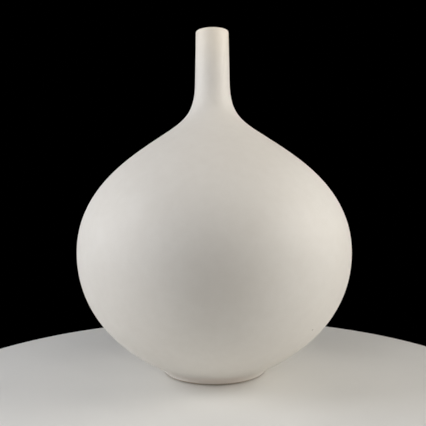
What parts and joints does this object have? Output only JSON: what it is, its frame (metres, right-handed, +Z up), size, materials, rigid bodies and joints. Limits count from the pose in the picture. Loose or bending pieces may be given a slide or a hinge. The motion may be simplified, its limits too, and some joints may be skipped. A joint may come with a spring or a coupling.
{
  "type": "ceramic vase",
  "caption": "Ceramic bottle vase with a low round belly, hollow shoulder, slender straight neck and narrow foot ring, matt outside and glossy inside.",
  "frame": {"origin": "on the floor under the middle of the foot ring", "axes": "+Z up along the vase's axis, through the middle of the mouth; X and Y are level and alike"},
  "size_m": [0.2864, 0.2864, 0.36],
  "materials": {
    "matt_glaze": "smooth matt warm white glaze",
    "glossy_glaze": "glossy lining glaze",
    "bare_clay": "bare fired stoneware",
    "fired_slip": "fired joining slip"
  },
  "bodies": {
    "root": {"foot_ring": "bare_clay", "foot_slip_seam": "fired_slip", "lower_body": "bare_clay", "belly_slip_seam": "fired_slip", "upper_body": "bare_clay", "neck_slip_seam": "fired_slip", "neck": "bare_clay", "outer_glaze": "matt_glaze", "inner_glaze": "glossy_glaze"}
  },
  "joints": []
}
